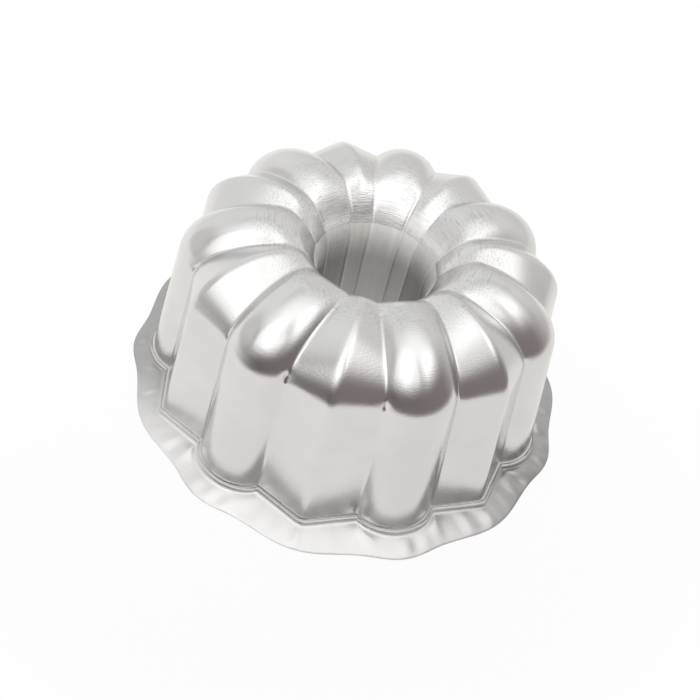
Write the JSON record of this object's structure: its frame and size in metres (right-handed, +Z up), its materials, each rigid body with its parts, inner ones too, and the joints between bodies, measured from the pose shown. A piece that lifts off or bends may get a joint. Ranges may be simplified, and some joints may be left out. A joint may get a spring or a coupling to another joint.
{
  "type": "fluted tube pan",
  "caption": "Ring-shaped aluminium baking mould with alternating round and angular flutes, a wavy flange round its mouth and a fluted open tube through the middle, standing upside down.",
  "frame": {"origin": "on the pan's axis, in the plane of the flange's underside that stands on the table", "axes": "+Z up the axis towards the crown as the pan stands upside down, -Y towards the ridge of one angular flute"},
  "size_m": [0.1862, 0.1894, 0.08],
  "materials": {
    "pressed_aluminium": "bare satin sheet with fine turning marks",
    "drawn_aluminium": "bare dull sheet with faint draw lines"
  },
  "bodies": {
    "root": {"fluted_shell": "pressed_aluminium", "centre_tube": "drawn_aluminium"}
  },
  "joints": []
}
